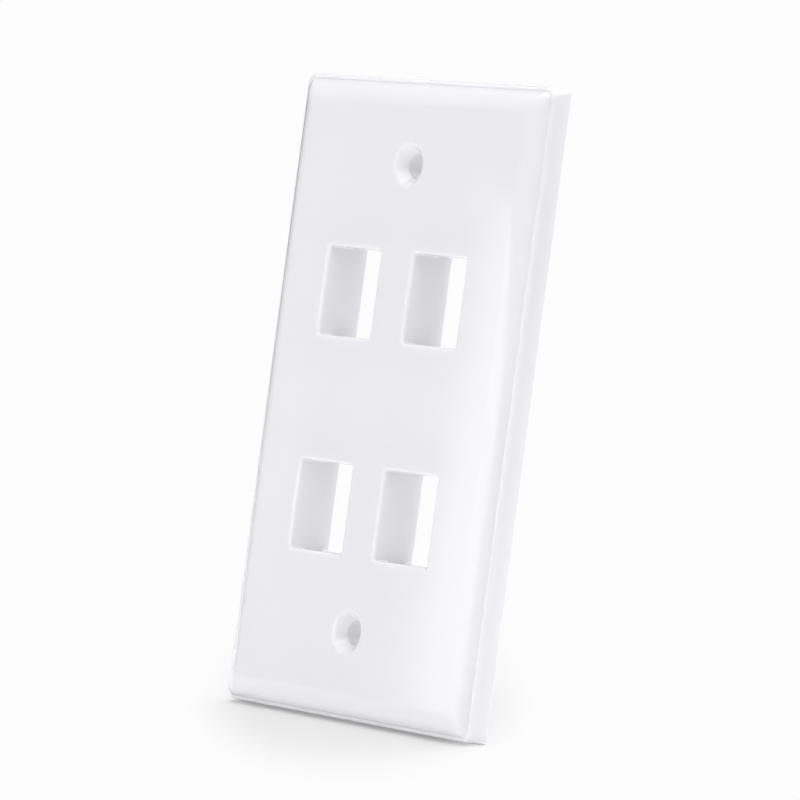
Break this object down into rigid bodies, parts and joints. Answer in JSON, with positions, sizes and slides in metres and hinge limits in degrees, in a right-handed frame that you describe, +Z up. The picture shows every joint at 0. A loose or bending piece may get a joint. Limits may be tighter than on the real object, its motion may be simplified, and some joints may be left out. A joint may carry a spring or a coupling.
{
  "type": "keystone faceplate",
  "caption": "Single-gang wall plate with a rolled edge, snap-in keystone ports and countersunk mounting holes, moulded in one piece.",
  "frame": {"origin": "middle of the back rim plane, halfway between the two mounting screws", "axes": "upright as on the wall: +X to the right seen from the front, +Z up, the face looks along -Y and +Y goes into the wall"},
  "size_m": [0.0698, 0.0089, 0.1142],
  "materials": {
    "faceplate": "semi-gloss white moulded thermoplastic"
  },
  "bodies": {
    "root": {"faceplate": "faceplate"}
  },
  "joints": []
}
